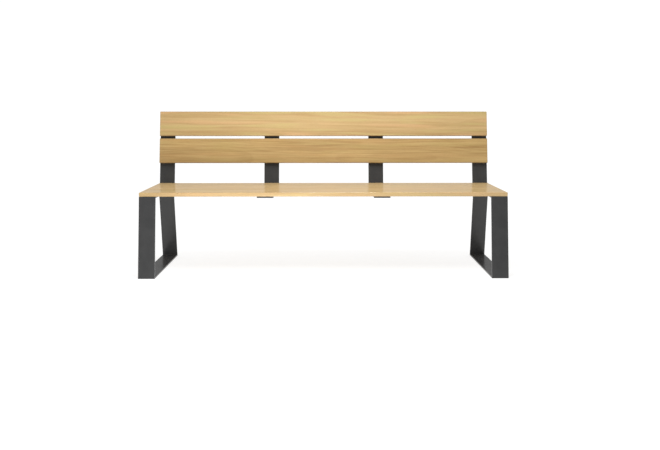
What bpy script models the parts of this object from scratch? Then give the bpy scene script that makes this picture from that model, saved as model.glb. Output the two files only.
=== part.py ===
"""Park bench with a backrest: five hardwood boards on four welded flat-bar supports.

Two end frames carry the bench: each is flat bar mitred and welded into an upright, a seat bar,
a front leg, a foot bar and a rear leg, whose top is welded to the seat bar's underside. Two
L-shaped brackets between them tie the seat to the backrest. The mitre welds are ground flush.
Every board is held by two screws at each support, driven from below or from behind, so no
fastener shows from the front.

X runs along the bench. Shapes are laid out with Y measured from the seat's front edge towards
the backrest and Z from the ground. A parent empty then centres the bench on Y = 0.
"""

import math

import bmesh
import bpy
from mathutils import Matrix, Vector

# Overall
BENCH_LENGTH = 2.0
SEAT_HEIGHT = 0.460
REST_GAP = 0.0003

# Boards
BOARD_WIDTH = 0.150
BOARD_THICKNESS = 0.022
BOARD_EDGE_RADIUS = 0.003
BOARD_EDGE_SEGMENTS = 2
SEAT_BOARD_GAP = 0.005
BACK_BOARD_GAP = 0.016
SEAT_BOARDS = ("seat_board_front", "seat_board_middle", "seat_board_rear")
BACK_BOARDS = ("back_board_lower", "back_board_upper")

# Flat-bar supports
BAR_WIDTH = 0.090
BAR_THICKNESS = 0.008
BAR_CHAMFER = 0.0008
INNER_CORNER_RADIUS = 0.001
OUTER_CORNER_RADIUS = 0.002
CORNER_STEPS = 3
BACK_LEAN = math.radians(10.0)
LEG_SPLAY = math.radians(8.0)
UPRIGHT_SETBACK = 0.0045
BACK_BOARD_START = 0.1425
UPRIGHT_SHORTFALL = 0.016
REAR_LEG_INSET = 0.0225
BRACKET_TIP_INSET = 0.008
WELD_LEG = 0.004
WELD_ROOT_GAP = 0.0003
WELD_OVERLAP = 0.001
WELD_END_INSET = 0.002

# Screws, one size throughout
SCREW_SPACING = 0.070
SCREW_RADIUS = 0.003
SCREW_HEAD_RADIUS = 0.0064
SCREW_HEAD_HEIGHT = 0.0034
SCREW_TOP_RADIUS = 0.0035
SCREW_RIM_HEIGHT = 0.001
SCREW_BITE = 0.016
SCREW_SIDES = 12
SCREW_SMOOTHING_ANGLE = math.radians(40)
PILOT_RADIUS = SCREW_RADIUS + REST_GAP
PILOT_DEPTH = SCREW_BITE + 0.001
CLEARANCE_RADIUS = 0.0036
CUT_OVERSHOOT = 0.002

# Ground anchors, through each foot bar
ANCHOR_HOLE_RADIUS = 0.0055
ANCHOR_SPACING = 0.400

# Sizes that follow from the ones above
BAR_TOP = SEAT_HEIGHT - BOARD_THICKNESS - REST_GAP
BAR_UNDERSIDE = BAR_TOP - BAR_THICKNESS
SEAT_DEPTH = len(SEAT_BOARDS) * BOARD_WIDTH + (len(SEAT_BOARDS) - 1) * SEAT_BOARD_GAP
BACK_REACH = BACK_BOARD_START + len(BACK_BOARDS) * BOARD_WIDTH + BACK_BOARD_GAP
UPRIGHT_REACH = BACK_REACH - UPRIGHT_SHORTFALL
FRONT_FOOT_Y = -BAR_TOP * math.tan(LEG_SPLAY)
SUPPORT_REACH = (BENCH_LENGTH - BAR_WIDTH) / 2
SUPPORTS = {
    "left": -SUPPORT_REACH,
    "middle_left": -SUPPORT_REACH / 3,
    "middle_right": SUPPORT_REACH / 3,
    "right": SUPPORT_REACH,
}

# Directions in the side view, as (Y, Z)
UP_THE_BACK = Vector((math.sin(BACK_LEAN), math.cos(BACK_LEAN)))
OUT_OF_THE_BACK = Vector((-math.cos(BACK_LEAN), math.sin(BACK_LEAN)))
BACK_CORNER = Vector((SEAT_DEPTH + UPRIGHT_SETBACK, BAR_TOP))


def clear_scene():
    for obj in list(bpy.data.objects):
        bpy.data.objects.remove(obj, do_unlink=True)


def make_material(name, colour, roughness, metallic):
    material = bpy.data.materials.new(name)
    material.use_nodes = True
    shader = material.node_tree.nodes["Principled BSDF"]
    shader.inputs["Base Color"].default_value = (*colour, 1.0)
    shader.inputs["Roughness"].default_value = roughness
    shader.inputs["Metallic"].default_value = metallic
    return material


def add_object(name, bm, material, parent):
    """Turn a bmesh into a named object under the bench's empty."""
    bmesh.ops.recalc_face_normals(bm, faces=bm.faces)
    mesh = bpy.data.meshes.new(name)
    bm.to_mesh(mesh)
    bm.free()
    obj = bpy.data.objects.new(name, mesh)
    obj.parent = parent
    bpy.context.scene.collection.objects.link(obj)
    if material:
        mesh.materials.append(material)
    return obj


def add_boolean(obj, cutter, operation):
    cutter.hide_render = True
    cutter.display_type = "WIRE"
    modifier = obj.modifiers.new(cutter.name, "BOOLEAN")
    modifier.operation = operation
    modifier.solver = "EXACT"
    modifier.object = cutter


def right_of(direction):
    """The unit vector to the right of a direction of travel, seen with Y to the right."""
    return Vector((direction.y, -direction.x))


def rounded_corner(corner, before, after, radius):
    """Points along the arc that rounds off a corner between two directions of travel."""
    turn = math.atan2(before.cross(after), before.dot(after))
    arm = right_of(before) * math.copysign(radius, turn)
    centre = corner - before * radius * math.tan(abs(turn) / 2) - arm
    turns = [turn * step / CORNER_STEPS for step in range(CORNER_STEPS + 1)]
    return [centre + Matrix.Rotation(angle, 2) @ arm for angle in turns]


def strip_stations(corners):
    """Pairs of points across a bar with mitred corners: one on its reference face, one on the
    far face.

    The reference face is to the right of the path and follows the straight lines between
    the corners.
    """
    directions = [(end - start).normalized() for start, end in zip(corners, corners[1:])]
    stations = [(corners[0], corners[0] - right_of(directions[0]) * BAR_THICKNESS)]
    for corner, before, after in zip(corners[1:], directions, directions[1:]):
        mitre = (right_of(before) + right_of(after)).normalized()
        far_corner = corner - mitre * BAR_THICKNESS / mitre.dot(right_of(before))
        near_radius, far_radius = INNER_CORNER_RADIUS, OUTER_CORNER_RADIUS
        if before.cross(after) > 0:
            near_radius, far_radius = far_radius, near_radius
        near_points = rounded_corner(corner, before, after, near_radius)
        stations += zip(near_points, rounded_corner(far_corner, before, after, far_radius))
    stations.append((corners[-1], corners[-1] - right_of(directions[-1]) * BAR_THICKNESS))
    return stations


def strip_section():
    """The bar's cross-section: across its width, and from the reference face to the far one."""
    half, inner = BAR_WIDTH / 2, BAR_WIDTH / 2 - BAR_CHAMFER
    low, high = BAR_CHAMFER / BAR_THICKNESS, 1 - BAR_CHAMFER / BAR_THICKNESS
    right_side = [(inner, 0.0), (half, low), (half, high), (inner, 1.0)]
    return right_side + [(-x, depth) for x, depth in reversed(right_side)]


def strip_mesh(stations):
    """Skin the bar's cross-section along its stations and cap both ends."""
    bm = bmesh.new()
    rings = []
    for near, far in stations:
        ring = []
        for x, depth in strip_section():
            point = near.lerp(far, depth)
            ring.append(bm.verts.new((x, point.x, point.y)))
        rings.append(ring)
    for first, second in zip(rings, rings[1:]):
        for i in range(len(first)):
            j = (i + 1) % len(first)
            bm.faces.new((first[i], first[j], second[j], second[i]))
    bm.faces.new(rings[0])
    bm.faces.new(reversed(rings[-1]))
    return bm


def rear_leg_line(z):
    """Y of the rear leg's front face and of its rear face, at a height."""
    front = SEAT_DEPTH - REAR_LEG_INSET + (BAR_UNDERSIDE - z) * math.tan(LEG_SPLAY)
    return front, front + BAR_THICKNESS / math.cos(LEG_SPLAY)


def end_frame_stations():
    top = BACK_CORNER + UP_THE_BACK * UPRIGHT_REACH
    front_corner = Vector((0.0, BAR_TOP))
    front_foot = Vector((FRONT_FOOT_Y, 0.0))
    rear_foot = Vector((rear_leg_line(0.0)[1], 0.0))
    leg_top = BAR_UNDERSIDE - WELD_ROOT_GAP
    leg_front, leg_rear = rear_leg_line(leg_top)
    corners = [top, BACK_CORNER, front_corner, front_foot, rear_foot, Vector((leg_rear, leg_top))]
    stations = strip_stations(corners)
    stations[-1] = (Vector((leg_rear, leg_top)), Vector((leg_front, leg_top)))
    return stations


def bracket_stations():
    top = BACK_CORNER + UP_THE_BACK * UPRIGHT_REACH
    return strip_stations([top, BACK_CORNER, Vector((BRACKET_TIP_INSET, BAR_TOP))])


def weld_mesh():
    """The weld that joins the rear leg's top to the seat bar, flaring from the leg to the bar.

    Its foot lies inside the leg, its top inside the bar and its ends inside the bar's width.
    """
    foot_z, top_z = BAR_UNDERSIDE - WELD_LEG, BAR_UNDERSIDE + WELD_OVERLAP
    foot_front, foot_rear = rear_leg_line(foot_z)
    top_front, top_rear = rear_leg_line(top_z)
    outline = [
        (foot_front + WELD_OVERLAP, foot_z),
        (top_front - WELD_LEG, top_z),
        (top_rear + WELD_LEG, top_z),
        (foot_rear - WELD_OVERLAP, foot_z),
    ]
    half = BAR_WIDTH / 2 - WELD_END_INSET
    bm = bmesh.new()
    face = bm.faces.new([bm.verts.new((-half, y, z)) for y, z in outline])
    extruded = bmesh.ops.extrude_face_region(bm, geom=[face])
    moved = [item for item in extruded["geom"] if isinstance(item, bmesh.types.BMVert)]
    bmesh.ops.translate(bm, vec=(2 * half, 0, 0), verts=moved)
    return bm


def add_cylinder(bm, centre, axis, radius, length, sides):
    """A capped cylinder whose middle is at a point of the side view, on the bar's centre line."""
    turn = Vector((0, 0, 1)).rotation_difference(Vector((0, axis.x, axis.y))).to_matrix().to_4x4()
    matrix = Matrix.Translation((0, centre.x, centre.y)) @ turn
    bmesh.ops.create_cone(bm, cap_ends=True, segments=sides, radius1=radius, radius2=radius,
                          depth=length, matrix=matrix)


def board_sites():
    """Each board's name with, in the side view, the middle of its face on the bar, the direction
    across its width and the direction out of the bar."""
    sites = {}
    for index, name in enumerate(SEAT_BOARDS):
        middle = BOARD_WIDTH / 2 + index * (BOARD_WIDTH + SEAT_BOARD_GAP)
        sites[name] = (Vector((middle, BAR_TOP)), Vector((1, 0)), Vector((0, 1)))
    for index, name in enumerate(BACK_BOARDS):
        middle = BACK_BOARD_START + BOARD_WIDTH / 2 + index * (BOARD_WIDTH + BACK_BOARD_GAP)
        sites[name] = (BACK_CORNER + UP_THE_BACK * middle, UP_THE_BACK, OUT_OF_THE_BACK)
    return sites


def screw_sites(site):
    """Where a board's two screws cross the bar's face, at every support."""
    middle, across, _ = site
    return [middle - across * SCREW_SPACING / 2, middle + across * SCREW_SPACING / 2]


def bar_hole_cutter(name, anchors, parent):
    """Clearance holes for every screw and, in an end frame, holes for two ground anchors."""
    bm = bmesh.new()
    length = BAR_THICKNESS + 2 * CUT_OVERSHOOT
    for site in board_sites().values():
        out = site[2]
        for point in screw_sites(site):
            add_cylinder(bm, point - out * BAR_THICKNESS / 2, out, CLEARANCE_RADIUS, length, SCREW_SIDES)
    if anchors:
        foot_middle = (FRONT_FOOT_Y + rear_leg_line(0.0)[1]) / 2
        for offset in (-ANCHOR_SPACING / 2, ANCHOR_SPACING / 2):
            centre = Vector((foot_middle + offset, BAR_THICKNESS / 2))
            add_cylinder(bm, centre, Vector((0, 1)), ANCHOR_HOLE_RADIUS, length, SCREW_SIDES)
    return add_object(name, bm, None, parent)


def build_supports(steel, parent):
    for side, x in SUPPORTS.items():
        is_end = not side.startswith("middle")
        name = f"end_frame_{side}" if is_end else f"{side}_bracket"
        stations = end_frame_stations() if is_end else bracket_stations()
        support = add_object(name, strip_mesh(stations), steel, parent)
        support.location.x = x
        if is_end:
            weld = add_object(f"weld_{side}", weld_mesh(), None, parent)
            weld.location.x = x
            add_boolean(support, weld, "UNION")
        cutter = bar_hole_cutter(f"holes_{side}", is_end, parent)
        cutter.location.x = x
        add_boolean(support, cutter, "DIFFERENCE")


def board_mesh():
    """A square-edged board lying flat, its underside on Z = 0; a modifier rounds its edges."""
    bm = bmesh.new()
    bmesh.ops.create_cube(bm, size=1.0)
    bmesh.ops.scale(bm, vec=(BENCH_LENGTH, BOARD_WIDTH, BOARD_THICKNESS), verts=bm.verts)
    bmesh.ops.translate(bm, vec=(0, 0, BOARD_THICKNESS / 2), verts=bm.verts)
    return bm


def pilot_hole_cutter(name, parent):
    """Blind holes up into a board lying flat, two at each support."""
    bm = bmesh.new()
    length = PILOT_DEPTH + CUT_OVERSHOOT
    for x in SUPPORTS.values():
        for offset in (-SCREW_SPACING / 2, SCREW_SPACING / 2):
            matrix = Matrix.Translation((x, offset, PILOT_DEPTH - length / 2))
            bmesh.ops.create_cone(bm, cap_ends=True, segments=SCREW_SIDES, radius1=PILOT_RADIUS,
                                  radius2=PILOT_RADIUS, depth=length, matrix=matrix)
    return add_object(name, bm, None, parent)


def build_boards(woods, parent):
    for name, (middle, across, out) in board_sites().items():
        board = add_object(name, board_mesh(), woods[name], parent)
        bevel = board.modifiers.new("eased_edges", "BEVEL")
        bevel.width = BOARD_EDGE_RADIUS
        bevel.segments = BOARD_EDGE_SEGMENTS
        bevel.limit_method = "NONE"
        cutter = pilot_hole_cutter(f"pilots_{name}", parent)
        add_boolean(board, cutter, "DIFFERENCE")
        foot = middle + out * REST_GAP
        for piece in (board, cutter):
            piece.location = (0, foot.x, foot.y)
            piece.rotation_euler.x = math.atan2(across.y, across.x)


def screw_mesh():
    """A turned screw pointing up +Z, the underside of its low domed head on Z = 0."""
    shank = BAR_THICKNESS + 2 * REST_GAP + SCREW_BITE
    profile = [
        (SCREW_TOP_RADIUS, -SCREW_HEAD_HEIGHT),
        (SCREW_HEAD_RADIUS, -SCREW_RIM_HEIGHT),
        (SCREW_HEAD_RADIUS, 0.0),
        (SCREW_RADIUS, 0.0),
        (SCREW_RADIUS, shank - SCREW_RADIUS),
    ]
    bm = bmesh.new()
    rings = []
    for radius, z in profile:
        angles = [2 * math.pi * i / SCREW_SIDES for i in range(SCREW_SIDES)]
        rings.append([bm.verts.new((radius * math.cos(a), radius * math.sin(a), z)) for a in angles])
    for first, second in zip(rings, rings[1:]):
        for i in range(SCREW_SIDES):
            j = (i + 1) % SCREW_SIDES
            bm.faces.new((first[i], first[j], second[j], second[i]))
    bm.faces.new(rings[0])
    tip = bm.verts.new((0, 0, shank))
    for i in range(SCREW_SIDES):
        bm.faces.new((rings[-1][i], rings[-1][(i + 1) % SCREW_SIDES], tip))
    return bm


def build_screws(metal, parent):
    for board, site in board_sites().items():
        out = site[2]
        tilt = Vector((0, 0, 1)).rotation_difference(Vector((0, out.x, out.y))).to_euler()
        for side, x in SUPPORTS.items():
            for number, point in enumerate(screw_sites(site), start=1):
                head = point - out * (BAR_THICKNESS + REST_GAP)
                screw = add_object(f"screw_{side}_{board}_{number}", screw_mesh(), metal, parent)
                screw.location = (x, head.x, head.y)
                screw.rotation_euler = tilt
                screw.data.shade_smooth()
                screw.data.set_sharp_from_angle(angle=SCREW_SMOOTHING_ANGLE)


def build_bench():
    clear_scene()
    points = [point for station in end_frame_stations() for point in station]
    centre_y = (min(p.x for p in points) + max(p.x for p in points)) / 2
    bench = bpy.data.objects.new("bench", None)
    bench.location = (0, -centre_y, 0)
    bpy.context.scene.collection.objects.link(bench)

    steel = make_material("frame_steel", (0.058, 0.058, 0.060), 0.45, 0.0)
    metal = make_material("screw_steel", (0.45, 0.45, 0.46), 0.35, 1.0)
    seat_wood = make_material("seat_wood", (0.62, 0.43, 0.24), 0.40, 0.0)
    back_wood = make_material("back_wood", (0.56, 0.38, 0.18), 0.45, 0.0)
    woods = {name: seat_wood for name in SEAT_BOARDS}
    woods.update({name: back_wood for name in BACK_BOARDS})

    build_supports(steel, bench)
    build_boards(woods, bench)
    build_screws(metal, bench)


build_bench()
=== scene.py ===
import math

import bmesh
import bpy
from mathutils import Matrix, Vector, noise


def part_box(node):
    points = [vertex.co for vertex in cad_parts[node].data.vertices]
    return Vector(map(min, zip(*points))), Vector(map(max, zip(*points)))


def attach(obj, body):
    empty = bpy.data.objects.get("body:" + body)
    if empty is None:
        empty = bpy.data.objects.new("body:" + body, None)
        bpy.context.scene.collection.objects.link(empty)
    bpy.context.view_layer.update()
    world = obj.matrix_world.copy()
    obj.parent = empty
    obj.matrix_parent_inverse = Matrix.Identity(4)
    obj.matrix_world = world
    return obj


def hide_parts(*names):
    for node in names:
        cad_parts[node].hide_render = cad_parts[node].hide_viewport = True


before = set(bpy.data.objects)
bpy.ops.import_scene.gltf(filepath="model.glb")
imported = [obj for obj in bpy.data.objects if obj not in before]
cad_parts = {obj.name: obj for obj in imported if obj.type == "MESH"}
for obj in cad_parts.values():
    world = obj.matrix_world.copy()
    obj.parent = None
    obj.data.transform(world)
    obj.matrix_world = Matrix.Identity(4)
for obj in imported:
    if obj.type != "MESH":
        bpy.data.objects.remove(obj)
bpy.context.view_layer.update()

# Shapes that the CAD was drawn with
BACK_LEAN = math.radians(10.0)
LEG_SPLAY = math.radians(8.0)
UPRIGHT_SETBACK = 0.0045
UPRIGHT_LENGTH = 0.4425
REAR_LEG_INSET = 0.0225
BAR_THICKNESS = 0.008
INNER_CORNER = 0.001
OUTER_CORNER = 0.002
REST_GAP = 0.0003
ANCHOR_RADIUS = 0.0055
ANCHOR_SPACING = 0.400
WELD_LEG = 0.004
WELD_ROOT = 0.0006
WELD_END_INSET = 0.002
BEAD_RIPPLES = 1400.0
SCREW_HEAD_RADIUS = 0.0064
SCREW_HEAD_HEIGHT = 0.0034
SCREW_CROWN_RADIUS = 0.003
SCREW_RIM = 0.0008
SCREW_EASING = 0.0002
SCREW_RADIUS = 0.003
SCREW_SHANK = 0.0200
SCREW_TIP_RADIUS = 0.0006
SCREW_TIP_LENGTH = 0.0038
SOCKET_RADIUS = 0.0021
SOCKET_DEPTH = 0.0021

# Fine finish
BOARD_EDGE = 0.003
BAR_EDGE = 0.0012
EDGE_STEPS = 4
CORNER_STEPS = 6
BAR_STEP = 0.05
BOARD_SLICES = 64
BEAD_SLICES = 160
BEAD_TAPER_SLICES = 12
CURVE_STEPS = 6
SCREW_SIDES = 36
HOLE_SIDES = 40
RING_WIDTH = 0.0058
SHARP_ANGLE = math.radians(38)

# Unevenness: how far sanding draws in a board's edge, as a share, and how far each screw is
# turned past the one before
SANDING = 0.0012
SCREW_TURN = 1.7

# The camera, in front of the seat's front edge, and the floor
CAMERA_DISTANCE = 3.5997
CAMERA_HEIGHT = 0.9296
CAMERA_ASIDE = 0.0077
CAMERA_TILT = math.radians(5.734)
CAMERA_PAN = math.radians(-0.424)
LENS_MM = 36.55
LENS_SHIFT = -0.0792
FLOOR_SIZE = 600.0

# Light levels
FLOOR_GLOW = 0.75
SKY_IN_FRONT = 0.27
SKY_BEHIND = 0.37
SKY_OVERHEAD = 1.60

SEAT_BOARDS = ("seat_board_front", "seat_board_middle", "seat_board_rear")
BACK_BOARDS = ("back_board_lower", "back_board_upper")
END_FRAMES = ("end_frame_left", "end_frame_right")
BRACKETS = ("middle_left_bracket", "middle_right_bracket")


# Each board's wood: its colours, how strong each pattern is, how much the grain slants, where the
# log's heart lay across and below the board, and how much painted shade darkens it towards its long
# edges
SEAT_LOOKS = {
    "pale": (0.598, 0.427, 0.204), "middle": (0.546, 0.373, 0.163), "dark": (0.425, 0.270, 0.104),
    "rosy": (0.562, 0.356, 0.163), "olive": (0.525, 0.394, 0.153), "hue_drift": 0.5,
    "broad": 0.35, "streak": 0.22, "line": 0.22, "rings": 0.15, "painted_edge_shade": 0.08, "shade": 1.0,
    "edge_tone": 0.9, "varnish": 0.62, "gloss": 0.06,
}
WOODS = {
    "seat_board_front": SEAT_LOOKS | {"slant": 0.004, "pith": (0.020, -0.18), "shade": 0.94},
    "seat_board_middle": SEAT_LOOKS | {"slant": -0.006, "pith": (-0.040, -0.20)},
    "seat_board_rear": SEAT_LOOKS | {"slant": 0.008, "pith": (0.050, -0.16)},
    "back_board_lower": {
        "pale": (0.475, 0.335, 0.140), "middle": (0.407, 0.270, 0.103), "dark": (0.282, 0.170, 0.056),
        "rosy": (0.416, 0.250, 0.096), "olive": (0.378, 0.279, 0.099), "hue_drift": 0.4,
        "broad": 0.30, "streak": 0.26, "line": 0.46, "rings": 0.14, "painted_edge_shade": 0.05, "slant": 0.005,
        "pith": (-0.060, -0.20), "shade": 1.0, "edge_tone": 0.5,
        "varnish": 0.25, "gloss": 0.19,
    },
    "back_board_upper": {
        "pale": (0.519, 0.376, 0.180), "middle": (0.456, 0.316, 0.140), "dark": (0.350, 0.225, 0.087),
        "rosy": (0.502, 0.306, 0.143), "olive": (0.425, 0.336, 0.129), "hue_drift": 0.6,
        "broad": 0.40, "streak": 0.34, "line": 0.14, "rings": 0.14, "painted_edge_shade": 0.30, "slant": 0.014,
        "pith": (0.010, -0.16), "shade": 1.0, "edge_tone": 0.5,
        "varnish": 0.25, "gloss": 0.19,
    },
}


# ---------------------------------------------------------------- node helpers

def new_material(name):
    material = bpy.data.materials.new(name)
    material.use_nodes = True
    tree = material.node_tree
    return material, tree, tree.nodes["Principled BSDF"]


def add_node(tree, kind, settings=None, **inputs):
    """A node with its settings, and its inputs by name: a value, or another node's socket."""
    node = tree.nodes.new(kind)
    for key, value in (settings or {}).items():
        setattr(node, key, value)
    for key, value in inputs.items():
        socket = node.inputs[int(key[1:])] if key[1:].isdigit() else node.inputs[key.replace("_", " ")]
        if isinstance(value, bpy.types.NodeSocket):
            tree.links.new(value, socket)
        else:
            socket.default_value = value
    return node


def math_node(tree, operation, first, second=0.0, clamp=False):
    settings = {"operation": operation, "use_clamp": clamp}
    return add_node(tree, "ShaderNodeMath", settings, i0=first, i1=second).outputs[0]


def vector_node(tree, operation, first, second=(0, 0, 0)):
    return add_node(tree, "ShaderNodeVectorMath", {"operation": operation}, i0=first, i1=second)


def map_range(tree, value, low, high, out_low, out_high):
    settings = {"interpolation_type": "SMOOTHSTEP"}
    return add_node(tree, "ShaderNodeMapRange", settings, Value=value, i1=low, i2=high,
                    i3=out_low, i4=out_high).outputs[0]


def noise_node(tree, vector, stretch, detail=2.0, roughness=0.5, distortion=0.0):
    """Noise with its own number of features per metre along each axis."""
    stretched = vector_node(tree, "MULTIPLY", vector, stretch).outputs[0]
    return add_node(tree, "ShaderNodeTexNoise", None, Vector=stretched, Scale=1.0, Detail=detail,
                    Roughness=roughness, Distortion=distortion).outputs["Fac"]


def mix_colour(tree, factor, first, second, blend="MIX"):
    settings = {"data_type": "RGBA", "blend_type": blend}
    return add_node(tree, "ShaderNodeMix", settings, i0=factor, i6=first, i7=second).outputs[2]


def attribute(tree, name, output):
    return add_node(tree, "ShaderNodeAttribute", {"attribute_name": name}).outputs[output]


# ---------------------------------------------------------------- materials

def colour_ramp(tree, factor, stops):
    """Colours along a factor: stops are (position, colour)."""
    ramp = tree.nodes.new("ShaderNodeValToRGB")
    ramp.color_ramp.interpolation = "B_SPLINE"
    elements = ramp.color_ramp.elements
    while len(elements) < len(stops):
        elements.new(0.5)
    for element, (position, colour) in zip(elements, stops):
        element.position = position
        element.color = colour + (1.0,)
    tree.links.new(factor, ramp.inputs["Fac"])
    return ramp.outputs["Color"]


def scaled(colour, amount):
    return tuple(min(1.0, amount * channel) for channel in colour)


def wood_material(name, looks, seed):
    """Varnished straight-grained hardwood, sawn from one log: the faces show long grain, the ends
    show arcs. Every pattern lives in the board's own coordinates, X along it."""
    material, tree, shader = new_material(name)
    local = attribute(tree, "local", "Vector")
    slant = add_node(tree, "ShaderNodeVectorRotate", {"rotation_type": "Z_AXIS"}, Vector=local,
                     Angle=looks["slant"]).outputs[0]
    place = vector_node(tree, "ADD", slant, (seed * 3.1, seed * 0.37, seed * 0.23)).outputs[0]

    broad = noise_node(tree, place, (0.6, 26.0, 26.0), detail=2.0)
    streak = noise_node(tree, place, (1.6, 75.0, 75.0), detail=3.0, roughness=0.55)
    line = noise_node(tree, place, (4.0, 210.0, 210.0), detail=2.0, roughness=0.6)
    fibre = noise_node(tree, place, (22.0, 1100.0, 1100.0), detail=3.0, roughness=0.65)
    pores = noise_node(tree, place, (60.0, 2400.0, 2400.0), detail=1.0)
    wander = noise_node(tree, place, (1.3, 4.0, 4.0), detail=1.5)

    across = vector_node(tree, "MULTIPLY", slant, (0.0, 1.0, 1.0)).outputs[0]
    heart = (0.0, looks["pith"][0], looks["pith"][1])
    from_heart = vector_node(tree, "SUBTRACT", across, heart).outputs[0]
    radius = vector_node(tree, "LENGTH", from_heart).outputs["Value"]
    wobble = math_node(tree, "MULTIPLY", wander, 0.045)
    ring = math_node(tree, "MULTIPLY", math_node(tree, "ADD", radius, wobble), 1 / RING_WIDTH)
    phase = math_node(tree, "FRACT", ring)
    rising = map_range(tree, phase, 0.15, 0.90, 0.0, 1.0)
    falling = map_range(tree, phase, 0.92, 1.0, 1.0, 0.0)
    rings = math_node(tree, "MULTIPLY", rising, falling)

    tone = 0.0
    for pattern, low, high, weight in (
        (broad, 0.34, 0.66, looks["broad"]),
        (streak, 0.32, 0.68, looks["streak"]),
        (line, 0.34, 0.70, looks["line"]),
        (fibre, 0.35, 0.70, 0.16),
    ):
        tone = math_node(tree, "ADD", map_range(tree, pattern, low, high, 0.0, weight), tone)
    # Painted shade: the tone grows darker towards the board's long edges, beside the gaps between
    # boards
    off_centre = math_node(tree, "ABSOLUTE", add_node(tree, "ShaderNodeSeparateXYZ", None,
                                                      Vector=local).outputs["Y"])
    painted_edge_shade = map_range(tree, off_centre, 0.015, 0.080, 0.0, looks["painted_edge_shade"])
    tone = math_node(tree, "ADD", tone, painted_edge_shade)
    tone = math_node(tree, "ADD", math_node(tree, "MULTIPLY", rings, looks["rings"]), tone, clamp=True)
    pale, middle, dark = (scaled(looks[key], looks["shade"]) for key in ("pale", "middle", "dark"))
    colour = colour_ramp(tree, tone, ((0.05, pale), (0.45, middle), (0.95, dark)))

    blush = noise_node(tree, place, (2.4, 30.0, 30.0), detail=1.0)
    rosy = map_range(tree, blush, 0.52, 0.70, 0.0, looks["hue_drift"])
    colour = mix_colour(tree, rosy, colour, looks["rosy"] + (1.0,))
    green = map_range(tree, blush, 0.48, 0.30, 0.0, looks["hue_drift"])
    colour = mix_colour(tree, green, colour, looks["olive"] + (1.0,))
    pore_mask = map_range(tree, pores, 0.60, 0.74, 0.0, 0.40)
    colour = mix_colour(tree, pore_mask, colour, scaled(dark, 0.5) + (1.0,))

    normal = add_node(tree, "ShaderNodeNewGeometry").outputs["Normal"]
    facing = add_node(tree, "ShaderNodeSeparateXYZ", None, Vector=normal).outputs["X"]
    end_grain = map_range(tree, math_node(tree, "ABSOLUTE", facing), 0.75, 0.97, 0.0, 1.0)
    ring_ends = mix_colour(tree, rings, scaled(middle, 0.72) + (1.0,), scaled(dark, 0.48) + (1.0,))
    colour = mix_colour(tree, end_grain, colour, ring_ends)

    edge = attribute(tree, "edge", "Fac")
    handled = math_node(tree, "MULTIPLY", edge, map_range(tree, streak, 0.30, 0.70, 0.45, 0.90))
    colour = mix_colour(tree, handled, colour, scaled(dark, looks["edge_tone"]) + (1.0,))
    tree.links.new(colour, shader.inputs["Base Color"])

    smudge = noise_node(tree, place, (7.0, 16.0, 16.0), detail=3.0)
    rough = math_node(tree, "ADD", map_range(tree, smudge, 0.3, 0.7, 0.34, 0.46),
                      math_node(tree, "MULTIPLY", tone, 0.08))
    rough = math_node(tree, "ADD", rough, math_node(tree, "MULTIPLY", end_grain, 0.25), clamp=True)
    tree.links.new(rough, shader.inputs["Roughness"])
    shader.inputs["IOR"].default_value = 1.45
    shader.inputs["Coat Weight"].default_value = looks["varnish"]
    shader.inputs["Coat Roughness"].default_value = looks["gloss"]

    relief = math_node(tree, "SUBTRACT", math_node(tree, "MULTIPLY", fibre, 0.6),
                       math_node(tree, "MULTIPLY", pore_mask, 1.2))
    relief = math_node(tree, "SUBTRACT", relief, math_node(tree, "MULTIPLY", rings, 0.35))
    bump = add_node(tree, "ShaderNodeBump", None, Height=relief, Strength=0.30, Distance=0.0003)
    tree.links.new(bump.outputs["Normal"], shader.inputs["Normal"])
    return material


def powder_coat_material():
    """Dark grey powder coat on steel: an orange-peel skin, faint mottling and rubbed edges."""
    material, tree, shader = new_material("powder_coat")
    local = attribute(tree, "local", "Vector")
    mottle = noise_node(tree, local, (14.0, 14.0, 14.0), detail=4.0, roughness=0.6)
    peel = noise_node(tree, local, (900.0, 900.0, 900.0), detail=1.0)
    grit = noise_node(tree, local, (3200.0, 3200.0, 3200.0), detail=2.0)
    colour = mix_colour(tree, map_range(tree, mottle, 0.3, 0.7, 0.0, 1.0),
                        (0.0365, 0.0366, 0.0368, 1.0), (0.0415, 0.0415, 0.0416, 1.0))
    rub = math_node(tree, "MULTIPLY", attribute(tree, "edge", "Fac"),
                    map_range(tree, mottle, 0.42, 0.68, 0.0, 0.55))
    colour = mix_colour(tree, rub, colour, (0.070, 0.070, 0.071, 1.0))
    speck = map_range(tree, grit, 0.66, 0.78, 0.0, 0.25)
    colour = mix_colour(tree, speck, colour, (0.062, 0.062, 0.063, 1.0))
    tree.links.new(colour, shader.inputs["Base Color"])
    rough = math_node(tree, "ADD", map_range(tree, mottle, 0.3, 0.7, 0.20, 0.27),
                      math_node(tree, "MULTIPLY", rub, 0.10))
    tree.links.new(rough, shader.inputs["Roughness"])
    shader.inputs["IOR"].default_value = 1.45
    height = math_node(tree, "ADD", peel, math_node(tree, "MULTIPLY", grit, 0.25))
    bump = add_node(tree, "ShaderNodeBump", None, Height=height, Strength=0.10, Distance=0.0002)
    tree.links.new(bump.outputs["Normal"], shader.inputs["Normal"])
    return material


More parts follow.
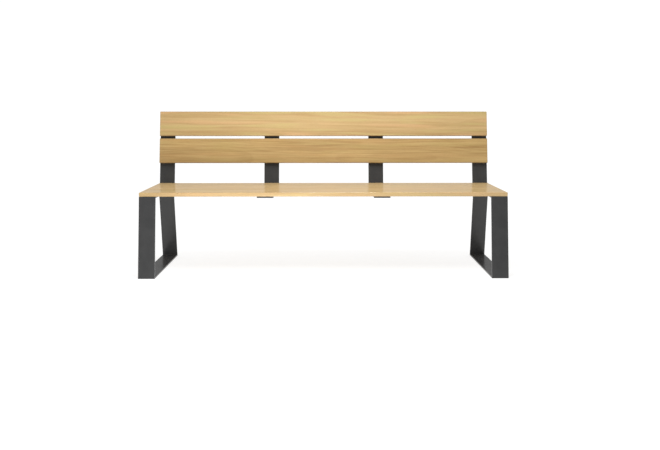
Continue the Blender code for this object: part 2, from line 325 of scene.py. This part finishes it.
def stainless_material():
    """Turned stainless steel: fine rings round the screw's axis and slight blotches."""
    material, tree, shader = new_material("stainless")
    local = attribute(tree, "local", "Vector")
    flat = vector_node(tree, "MULTIPLY", local, (1.0, 1.0, 0.0)).outputs[0]
    radius = vector_node(tree, "LENGTH", flat).outputs["Value"]
    turning = math_node(tree, "SINE", math_node(tree, "MULTIPLY", radius, 42000.0))
    blotch = noise_node(tree, local, (420.0, 420.0, 420.0), detail=3.0)
    colour = mix_colour(tree, blotch, (0.47, 0.47, 0.48, 1.0), (0.62, 0.61, 0.60, 1.0))
    tree.links.new(colour, shader.inputs["Base Color"])
    shader.inputs["Metallic"].default_value = 1.0
    tree.links.new(map_range(tree, blotch, 0.3, 0.7, 0.24, 0.38), shader.inputs["Roughness"])
    bump = add_node(tree, "ShaderNodeBump", None, Height=turning, Strength=0.12, Distance=0.00003)
    tree.links.new(bump.outputs["Normal"], shader.inputs["Normal"])
    return material


# ---------------------------------------------------------------- mesh helpers

def mesh_from(bm, name):
    bmesh.ops.recalc_face_normals(bm, faces=bm.faces)
    mesh = bpy.data.meshes.new(name)
    bm.to_mesh(mesh)
    bm.free()
    return mesh


def cut_away(mesh, cutter_mesh):
    """The mesh with the cutter's volume taken out of it."""
    body = bpy.data.objects.new("body", mesh)
    cutter = bpy.data.objects.new("cutter", cutter_mesh)
    for thing in (body, cutter):
        bpy.context.scene.collection.objects.link(thing)
    modifier = body.modifiers.new("cut", "BOOLEAN")
    modifier.operation = "DIFFERENCE"
    modifier.solver = "EXACT"
    modifier.object = cutter
    evaluated = body.evaluated_get(bpy.context.evaluated_depsgraph_get())
    result = bpy.data.meshes.new_from_object(evaluated)
    for thing in (body, cutter):
        bpy.data.objects.remove(thing)
    return result


def add_piece(name, bm, material, nodes, matrix=None, edge=None, holes=None):
    """A smooth-shaded piece on the bench's body, with its local coordinates kept for its material.

    edge says, for a local point, how much of an exposed edge it is, from 0 to 1.
    """
    mesh = mesh_from(bm, name)
    if holes:
        mesh = cut_away(mesh, mesh_from(holes, "holes"))
    mesh.attributes.new("local", "FLOAT_VECTOR", "POINT")
    mesh.attributes.new("edge", "FLOAT", "POINT")
    local, exposed = mesh.attributes["local"], mesh.attributes["edge"]
    for vertex in mesh.vertices:
        local.data[vertex.index].vector = vertex.co
        exposed.data[vertex.index].value = edge(vertex.co) if edge else 0.0
    if matrix:
        mesh.transform(matrix)
    mesh.materials.append(material)
    mesh.shade_smooth()
    mesh.set_sharp_from_angle(angle=SHARP_ANGLE)
    piece = bpy.data.objects.new(name, mesh)
    bpy.context.scene.collection.objects.link(piece)
    weighted = piece.modifiers.new("flat_faces_stay_flat", "WEIGHTED_NORMAL")
    weighted.keep_sharp = True
    weighted.weight = 100
    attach(piece, "root")
    if nodes:
        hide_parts(*nodes)


def skin(bm, rings):
    """Join rings of vertices with quads, and close the first and the last ring."""
    for first, second in zip(rings, rings[1:]):
        for i in range(len(first)):
            j = (i + 1) % len(first)
            bm.faces.new((first[i], first[j], second[j], second[i]))
    bm.faces.new(reversed(rings[0]))
    bm.faces.new(rings[-1])


def rounded_section(width, depth, radius, inset=0.0):
    """A rounded rectangle's outline, centred on the origin, drawn in by inset."""
    corners = []
    for quarter, (sx, sy) in enumerate(((1, 1), (-1, 1), (-1, -1), (1, -1))):
        centre = Vector((sx * (width / 2 - radius), sy * (depth / 2 - radius)))
        for step in range(EDGE_STEPS + 1):
            angle = math.pi / 2 * (quarter + step / EDGE_STEPS)
            corners.append(centre + (radius - inset) * Vector((math.cos(angle), math.sin(angle))))
    return corners


def end_roundings(radius):
    """Pairs of (distance from the end, inset) that round off the end of a swept section."""
    pairs = []
    for step in range(EDGE_STEPS + 1):
        angle = math.pi / 2 * step / EDGE_STEPS
        pairs.append((radius * (1 - math.sin(angle)), radius * (1 - math.cos(angle))))
    return pairs


# ---------------------------------------------------------------- boards

def board_size(node, lean):
    """A board's middle, length, width and thickness, from its CAD box and its lean from upright."""
    low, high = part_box(node)
    size = high - low
    sine, cosine = math.sin(lean), math.cos(lean)
    flat_y, flat_z = size.y - 2 * BOARD_EDGE, size.z - 2 * BOARD_EDGE
    scale = cosine * cosine - sine * sine
    width = (flat_z * cosine - flat_y * sine) / scale + 2 * BOARD_EDGE
    thickness = (flat_y * cosine - flat_z * sine) / scale + 2 * BOARD_EDGE
    return (low + high) / 2, size.x, width, thickness


def board_mesh(length, width, thickness, seed):
    """A planed board with eased edges, sanded a little unevenly along its length."""
    stations = sorted((-length / 2 + gap, inset) for gap, inset in end_roundings(BOARD_EDGE))
    for i in range(1, BOARD_SLICES):
        x = -length / 2 + BOARD_EDGE + (length - 2 * BOARD_EDGE) * i / BOARD_SLICES
        stations.append((x, 0.0))
    stations += sorted((length / 2 - gap, inset) for gap, inset in end_roundings(BOARD_EDGE))
    bm = bmesh.new()
    rings = []
    for x, inset in stations:
        ring = []
        for point in rounded_section(width, thickness, BOARD_EDGE, inset):
            near_edge = abs(point.x) > width / 2 - BOARD_EDGE
            rub = noise.noise(Vector((x * 9.0 + seed, point.x * 20.0, point.y * 60.0)))
            pull = 1.0 - (SANDING * max(0.0, rub) if near_edge else 0.0)
            ring.append(bm.verts.new((x, point.x * pull, point.y)))
        rings.append(ring)
    skin(bm, rings)
    return bm


def build_boards(woods):
    for index, node in enumerate(SEAT_BOARDS + BACK_BOARDS):
        if node in SEAT_BOARDS:
            low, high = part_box(node)
            centre, (length, width, thickness) = (low + high) / 2, high - low
            turn = Matrix.Identity(4)
        else:
            centre, length, width, thickness = board_size(node, BACK_LEAN)
            turn = Matrix.Rotation(math.pi / 2 - BACK_LEAN, 4, "X")

        def edge(point):
            across = max(0.0, abs(point.y) - (width / 2 - BOARD_EDGE)) / BOARD_EDGE
            through = max(0.0, abs(point.z) - (thickness / 2 - BOARD_EDGE)) / BOARD_EDGE
            return min(1.0, 2.0 * min(across, through))

        bm = board_mesh(length, width, thickness, seed=7.0 * index)
        add_piece(f"{node}_varnished", bm, woods[node], [node],
                  Matrix.Translation(centre) @ turn, edge)


# ---------------------------------------------------------------- welded flat bars

def right_of(direction):
    return Vector((direction.y, -direction.x))


def rounded_corner(corner, before, after, radius):
    """Points along the arc that rounds off a corner between two directions of travel."""
    turn = math.atan2(before.cross(after), before.dot(after))
    arm = right_of(before) * math.copysign(radius, turn)
    centre = corner - before * radius * math.tan(abs(turn) / 2) - arm
    turns = [turn * step / CORNER_STEPS for step in range(CORNER_STEPS + 1)]
    return [centre + Matrix.Rotation(angle, 2) @ arm for angle in turns]


def strip_stations(corners):
    """Pairs of points across the bar, one on its reference face and one on the far face."""
    directions = [(end - start).normalized() for start, end in zip(corners, corners[1:])]
    stations = [(corners[0], corners[0] - right_of(directions[0]) * BAR_THICKNESS)]
    for corner, before, after in zip(corners[1:], directions, directions[1:]):
        mitre = (right_of(before) + right_of(after)).normalized()
        far_corner = corner - mitre * BAR_THICKNESS / mitre.dot(right_of(before))
        near_radius, far_radius = INNER_CORNER, OUTER_CORNER
        if before.cross(after) > 0:
            near_radius, far_radius = far_radius, near_radius
        near_points = rounded_corner(corner, before, after, near_radius)
        turned = list(zip(near_points, rounded_corner(far_corner, before, after, far_radius)))
        stations += straight(stations[-1], turned[0]) + turned
    last = (corners[-1], corners[-1] - right_of(directions[-1]) * BAR_THICKNESS)
    return stations + straight(stations[-1], last) + [last]


def straight(first, last):
    """Evenly spaced stations between two, both left out."""
    count = int((last[0] - first[0]).length / BAR_STEP)
    shares = [i / (count + 1) for i in range(1, count + 1)]
    return [(first[0].lerp(last[0], share), first[1].lerp(last[1], share)) for share in shares]


def rounded_end(stations):
    """The stations with their first end rounded off, each with the section's inset."""
    near, far = stations[0]
    along = (stations[1][0] - near).normalized()
    ends = [(near + along * gap, far + along * gap, inset) for gap, inset in end_roundings(BAR_EDGE)]
    ends.sort(key=lambda item: (item[0] - near).length)
    return ends + [(near_point, far_point, 0.0) for near_point, far_point in stations[1:]]


def strip_mesh(stations, width):
    bm = bmesh.new()
    rings = []
    for near, far, inset in stations:
        ring = []
        for x, depth in rounded_section(width, BAR_THICKNESS, BAR_EDGE, inset):
            spot = near.lerp(far, 0.5 - depth / BAR_THICKNESS)
            ring.append(bm.verts.new((x, spot.x, spot.y)))
        rings.append(ring)
    skin(bm, rings)
    return bm


def side_view():
    """The bench's side view as (Y, Z) points, worked out from the CAD boxes."""
    seat_low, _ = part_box(SEAT_BOARDS[0])
    _, seat_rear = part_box(SEAT_BOARDS[-1])
    bracket_low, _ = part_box(BRACKETS[0])
    top = seat_low.z - REST_GAP
    under = top - BAR_THICKNESS
    back_corner = Vector((seat_rear.y + UPRIGHT_SETBACK, top))
    leaning = Vector((math.sin(BACK_LEAN), math.cos(BACK_LEAN)))
    leg_depth = BAR_THICKNESS / math.cos(LEG_SPLAY)
    leg_rear = seat_rear.y - REAR_LEG_INSET + leg_depth
    return {
        "upright_top": back_corner + leaning * UPRIGHT_LENGTH,
        "back_corner": back_corner,
        "front_corner": Vector((seat_low.y, top)),
        "front_foot": Vector((seat_low.y - top * math.tan(LEG_SPLAY), 0.0)),
        "rear_foot": Vector((leg_rear + under * math.tan(LEG_SPLAY), 0.0)),
        "leg_top": Vector((leg_rear, under)),
        "leg_top_front": Vector((leg_rear - leg_depth, under)),
        "bracket_tip": Vector((bracket_low.y, top)),
    }


def anchor_holes(side):
    """Upright cylinders through the foot bar, where the ground anchors go."""
    bm = bmesh.new()
    middle = (side["front_foot"].x + side["rear_foot"].x) / 2
    for offset in (-ANCHOR_SPACING / 2, ANCHOR_SPACING / 2):
        matrix = Matrix.Translation((0.0, middle + offset, BAR_THICKNESS / 2))
        bmesh.ops.create_cone(bm, cap_ends=True, segments=HOLE_SIDES, radius1=ANCHOR_RADIUS,
                              radius2=ANCHOR_RADIUS, depth=3 * BAR_THICKNESS, matrix=matrix)
    return bm


def bead_mesh(corner, direction, width, seed):
    """A rippled weld bead along X, in the corner between a leg's face and the bar above it.

    direction is +1 when the bead is on the +Y side of the leg and -1 on the other side."""
    bm = bmesh.new()
    rings = []
    for i in range(BEAD_SLICES + 1):
        x = width * (i / BEAD_SLICES - 0.5)
        from_end = min(i, BEAD_SLICES - i) / BEAD_TAPER_SLICES
        taper = min(1.0, 0.35 + 0.65 * math.sin(math.pi * min(0.5, from_end)))
        ripple = 0.88 + 0.10 * abs(math.sin(x * BEAD_RIPPLES))
        size = WELD_LEG * taper * ripple * (0.95 + 0.08 * noise.noise(Vector((x * 60, seed, 0))))
        outline = [(-WELD_ROOT, WELD_ROOT), (-WELD_ROOT, -size)]
        for step in range(CURVE_STEPS + 1):
            angle = math.pi / 2 * step / CURVE_STEPS
            bulge = 1.0 - 0.24 * math.sin(2 * angle)
            outline.append((size * math.sin(angle) * bulge, -size * math.cos(angle) * bulge))
        outline.append((size, WELD_ROOT))
        rings.append([bm.verts.new((x, corner.x + direction * y, corner.y + z)) for y, z in outline])
    skin(bm, rings)
    return bm


def build_supports(coat):
    side = side_view()
    frame_path = ["upright_top", "back_corner", "front_corner", "front_foot", "rear_foot", "leg_top"]
    bracket_path = ["upright_top", "back_corner", "bracket_tip"]
    for node in END_FRAMES + BRACKETS:
        low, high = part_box(node)
        ends = node in END_FRAMES
        place = Matrix.Translation(((low.x + high.x) / 2, 0, 0))
        width = high.x - low.x
        path = strip_stations([side[name] for name in (frame_path if ends else bracket_path)])
        if ends:
            path[-1] = (side["leg_top"], side["leg_top_front"])
        bar = strip_mesh(rounded_end(path), width)
        holes = anchor_holes(side) if ends else None

        def edge(point):
            return min(1.0, max(0.0, abs(point.x) - (width / 2 - BAR_EDGE)) / BAR_EDGE)

        add_piece(f"{node}_coated", bar, coat, [node], place, edge, holes)
        if not ends:
            continue
        for label, corner, direction in (("front", "leg_top_front", -1), ("rear", "leg_top", 1)):
            bead = bead_mesh(side[corner], direction, width - 2 * WELD_END_INSET,
                             seed=low.x + direction)
            add_piece(f"{node}_{label}_weld", bead, coat, None, place)


# ---------------------------------------------------------------- screws

def screw_mesh():
    """A button-head screw with a six-lobed socket, its head's crown on Z = 0 and its shank up +Z."""
    angles = [math.tau * i / SCREW_SIDES for i in range(SCREW_SIDES)]
    lobes = [SOCKET_RADIUS * (1.0 + 0.13 * math.cos(6 * angle)) for angle in angles]
    round_out = [1.0] * SCREW_SIDES
    profile = [
        (lobes, 0.55, SOCKET_DEPTH),
        (lobes, 0.94, SOCKET_DEPTH - SCREW_EASING),
        (lobes, 1.00, 0.0004),
        (lobes, 1.10, 0.0001),
        (round_out, SCREW_CROWN_RADIUS, 0.0),
    ]
    for step in range(1, CURVE_STEPS + 1):
        angle = math.pi / 2 * step / CURVE_STEPS
        reach = SCREW_CROWN_RADIUS + (SCREW_HEAD_RADIUS - SCREW_CROWN_RADIUS) * math.sin(angle)
        profile.append((round_out, reach, (SCREW_HEAD_HEIGHT - SCREW_RIM) * (1 - math.cos(angle))))
    profile += [
        (round_out, SCREW_HEAD_RADIUS, SCREW_HEAD_HEIGHT - SCREW_EASING),
        (round_out, SCREW_HEAD_RADIUS - SCREW_EASING, SCREW_HEAD_HEIGHT),
        (round_out, SCREW_RADIUS, SCREW_HEAD_HEIGHT),
        (round_out, SCREW_RADIUS, SCREW_HEAD_HEIGHT + SCREW_SHANK),
        (round_out, SCREW_TIP_RADIUS, SCREW_HEAD_HEIGHT + SCREW_SHANK + SCREW_TIP_LENGTH),
    ]
    bm = bmesh.new()
    rings = []
    for shape, reach, height in profile:
        ring = []
        for angle, spread in zip(angles, shape):
            distance = spread * reach
            ring.append(bm.verts.new((distance * math.cos(angle), distance * math.sin(angle), height)))
        rings.append(ring)
    skin(bm, rings)
    return bm


def screw_place(node, axis, turn):
    """Where a screw goes: its head's crown at the CAD screw's low end along its axis."""
    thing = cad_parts[node]
    spin = Vector((0, 0, 1)).rotation_difference(axis).to_matrix()
    points = [spin.transposed() @ (thing.matrix_world @ vertex.co) for vertex in thing.data.vertices]
    spots = [[point[i] for point in points] for i in range(3)]
    start = Vector(((min(spots[0]) + max(spots[0])) / 2, (min(spots[1]) + max(spots[1])) / 2,
                    min(spots[2])))
    return Matrix.Translation(spin @ start) @ spin.to_4x4() @ Matrix.Rotation(turn, 4, "Z")


def build_screws(steel):
    out_of_back = Vector((0.0, -math.cos(BACK_LEAN), math.sin(BACK_LEAN)))
    names = sorted(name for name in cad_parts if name.startswith("screw_"))
    for index, node in enumerate(names):
        axis = out_of_back if "back_board" in node else Vector((0, 0, 1))
        add_piece(f"{node}_turned", screw_mesh(), steel, [node],
                  screw_place(node, axis, turn=SCREW_TURN * index))


# ---------------------------------------------------------------- stage

def build_stage():
    bpy.ops.mesh.primitive_plane_add(size=FLOOR_SIZE, location=(0, 0, -REST_GAP))
    floor = bpy.context.object
    floor.name = "floor"
    material, tree, shader = new_material("pale_floor")
    shader.inputs["Base Color"].default_value = (0.28, 0.28, 0.28, 1.0)
    shader.inputs["Roughness"].default_value = 0.9
    shader.inputs["Specular IOR Level"].default_value = 0.0
    shader.inputs["Emission Color"].default_value = (1, 1, 1, 1)
    shader.inputs["Emission Strength"].default_value = FLOOR_GLOW
    floor.data.materials.append(material)


def build_world():
    world = bpy.data.worlds.new("studio")
    bpy.context.scene.world = world
    world.use_nodes = True
    tree = world.node_tree
    background = tree.nodes["Background"]
    direction = add_node(tree, "ShaderNodeTexCoord").outputs["Generated"]
    compass = add_node(tree, "ShaderNodeSeparateXYZ", None, Vector=direction)
    horizon = map_range(tree, compass.outputs["Y"], -0.6, 0.6, SKY_IN_FRONT, SKY_BEHIND)
    sky = map_range(tree, compass.outputs["Z"], 0.35, 0.90, horizon, SKY_OVERHEAD)
    is_camera = add_node(tree, "ShaderNodeLightPath").outputs["Is Camera Ray"]
    strength = add_node(tree, "ShaderNodeMix", {"data_type": "FLOAT"}, i0=is_camera, i2=sky, i3=1.05)
    tree.links.new(strength.outputs[0], background.inputs["Strength"])
    background.inputs["Color"].default_value = (1, 1, 1, 1)


def area_light(name, location, target, size, energy):
    light = bpy.data.lights.new(name, "AREA")
    light.shape = "RECTANGLE"
    light.size, light.size_y = size
    light.energy = energy
    lamp = bpy.data.objects.new(name, light)
    lamp.location = location
    lamp.rotation_euler = (Vector(target) - Vector(location)).to_track_quat("-Z", "Y").to_euler()
    lamp.visible_camera = False
    bpy.context.scene.collection.objects.link(lamp)


def build_lights():
    area_light("softbox", (0.05, -0.88, 2.25), (0.05, 0.05, 0.60), (0.8, 0.8), 37.0)
    area_light("low_left", (-0.40, -0.95, 0.14), (-0.38, -0.25, 0.42), (0.8, 0.14), 5.0)


def build_camera():
    data = bpy.data.cameras.new("camera")
    data.sensor_width = 36.0
    data.lens = LENS_MM
    data.shift_y = LENS_SHIFT
    camera = bpy.data.objects.new("camera", data)
    seat_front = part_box(SEAT_BOARDS[0])[0].y
    camera.location = (CAMERA_ASIDE, seat_front - CAMERA_DISTANCE, CAMERA_HEIGHT)
    camera.rotation_euler = (math.pi / 2 - CAMERA_TILT, 0.0, CAMERA_PAN)
    bpy.context.scene.collection.objects.link(camera)
    bpy.context.scene.camera = camera


build_camera()
build_world()
build_lights()
build_stage()
bpy.context.scene.view_settings.view_transform = "Standard"

woods = {node: wood_material(f"wood_{node}", WOODS[node], seed=1.0 + index)
         for index, node in enumerate(WOODS)}
build_boards(woods)
build_supports(powder_coat_material())
build_screws(stainless_material())
